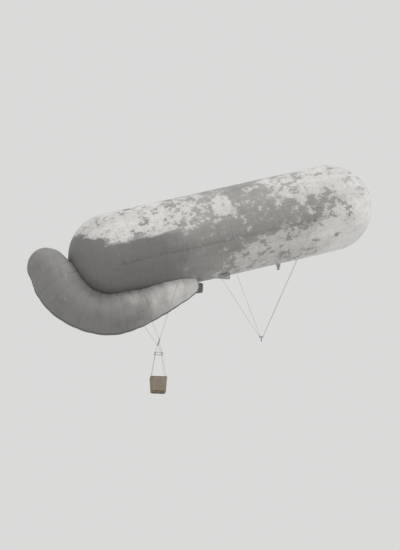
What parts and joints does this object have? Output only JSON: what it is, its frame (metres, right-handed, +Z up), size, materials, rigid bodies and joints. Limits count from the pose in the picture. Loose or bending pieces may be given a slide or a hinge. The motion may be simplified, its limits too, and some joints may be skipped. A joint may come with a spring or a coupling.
{
  "type": "captive kite balloon",
  "caption": "Captive observation kite balloon: long round-ended gas bag flying nose up, crescent steering bag round its stern, slung wicker car and tether swivel.",
  "frame": {"origin": "centre of the gas bag, where the gas lifts the balloon", "axes": "+X towards the nose, level; +Y to port; +Z up. The gas bag flies 16 degrees nose up in this frame."},
  "size_m": [26.7334, 6.76, 18.891],
  "materials": {
    "gas_fabric": "rubberised balloon fabric, varnished, weathered pale and flaking on top and at the nose",
    "bag_fabric": "lighter proofed cotton, matt, slightly slack",
    "band_fabric": "doubled webbing and doped patches",
    "rope": "tarred hemp rope",
    "wood": "varnished ash",
    "steel": "forged, galvanised and dull",
    "wicker": "woven willow and cane",
    "leather": "padded roll, worn dark"
  },
  "bodies": {
    "balloon": {"envelope": "gas_fabric", "steering_bag": "bag_fabric", "steering_mouth_hoop": "wood", "ballonet_mouth": "gas_fabric", "ballonet_mouth_hoop": "wood", "nose_valve_ring": "wood", "filling_neck": "gas_fabric", "ripping_panel": "band_fabric", "girdle_port": "band_fabric", "girdle_starboard": "band_fabric", "mooring_leg_fore_port": "rope", "mooring_leg_aft_port": "rope", "mooring_leg_fore_starboard": "rope", "mooring_leg_aft_starboard": "rope", "car_leg_fore_port": "rope", "car_leg_aft_port": "rope", "car_leg_fore_starboard": "rope", "car_leg_aft_starboard": "rope", "mooring_ring": "steel", "car_bar": "wood"},
    "valve_lid": {"nose_valve_lid": "steel"},
    "mouth_flap": {"steering_mouth_flap": "band_fabric"},
    "shackle": {"tether_shackle": "steel"},
    "swivel": {"tether_swivel": "steel"},
    "car": {"car_sling_port": "rope", "car_sling_starboard": "rope", "car_hoop": "wood", "basket_rope_fore_port": "rope", "basket_rope_aft_port": "rope", "basket_rope_fore_starboard": "rope", "basket_rope_aft_starboard": "rope", "basket_walls": "wicker", "basket_floor": "wicker", "basket_rim": "leather", "basket_skid_1": "wood", "basket_skid_2": "wood", "basket_skid_3": "wood"}
  },
  "joints": [
    {"name": "car_swing", "type": "hinge", "parent": "balloon", "child": "car", "pos_m": [-4.85, 0, -9.15], "axis": [0, 1, 0], "range_deg": [-30, 30]},
    {"name": "shackle_swing", "type": "hinge", "parent": "balloon", "child": "shackle", "pos_m": [3, 0, -8.462], "axis": [0, 1, 0], "range_deg": [-60, 60]},
    {"name": "swivel_turn", "type": "hinge", "parent": "shackle", "child": "swivel", "pos_m": [3, 0, -8.65], "axis": [0, 0, 1], "continuous": true},
    {"name": "valve_open", "type": "slide", "parent": "balloon", "child": "valve_lid", "axis": [-0.9613, 0, -0.2756], "range_m": [0, 0.08], "stiffness_N_per_m": 600, "springref_m": -0.06},
    {"name": "flap_open", "type": "hinge", "parent": "balloon", "child": "mouth_flap", "pos_m": [-1.5511, 0, -4.3551], "axis": [0, 1, 0], "range_deg": [0, 60]}
  ]
}
